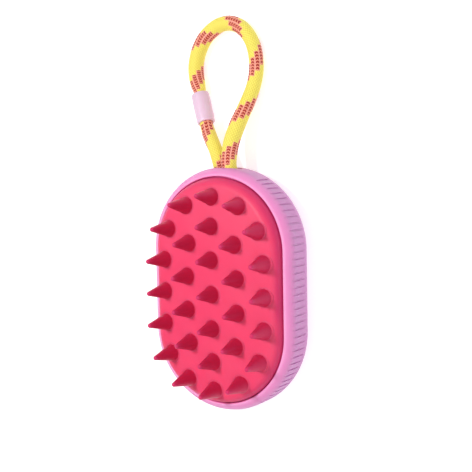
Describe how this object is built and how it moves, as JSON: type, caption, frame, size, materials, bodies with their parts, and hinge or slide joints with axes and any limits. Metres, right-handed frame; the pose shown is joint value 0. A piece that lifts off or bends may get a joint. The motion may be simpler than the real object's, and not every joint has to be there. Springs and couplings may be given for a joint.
{
  "type": "pet bath massage brush",
  "caption": "Palm-held pet bath brush with a soft red bristle pad, a pink ribbed housing and a yellow cord wrist loop.",
  "frame": {"origin": "middle of the flat back that the brush lies on, measured without the wrist loop", "axes": "+Z out of the bristles, +Y along the housing towards the wrist loop, +X to the right seen from above the bristles"},
  "size_m": [0.082, 0.1981, 0.0427],
  "materials": {
    "housing_pink": "satin",
    "carrier_white": "matte",
    "silicone_red": "satin",
    "screw_steel": "satin",
    "cord_yellow": "woven",
    "sleeve_pale_pink": "satin"
  },
  "bodies": {
    "brush": {"front_shell": "housing_pink", "back_cover": "housing_pink", "pad_carrier": "carrier_white", "bristle_pad": "silicone_red", "carrier_screws": "screw_steel", "cord_stopper": "carrier_white", "cord_tails": "cord_yellow"},
    "wrist_loop": {"cord_loop": "cord_yellow", "cord_sleeve": "sleeve_pale_pink"}
  },
  "joints": [
    {"name": "loop_swing", "type": "hinge", "parent": "brush", "child": "wrist_loop", "pos_m": [0, 0.0654, 0.0153], "axis": [1, 0, 0], "range_deg": [0, 95]}
  ]
}
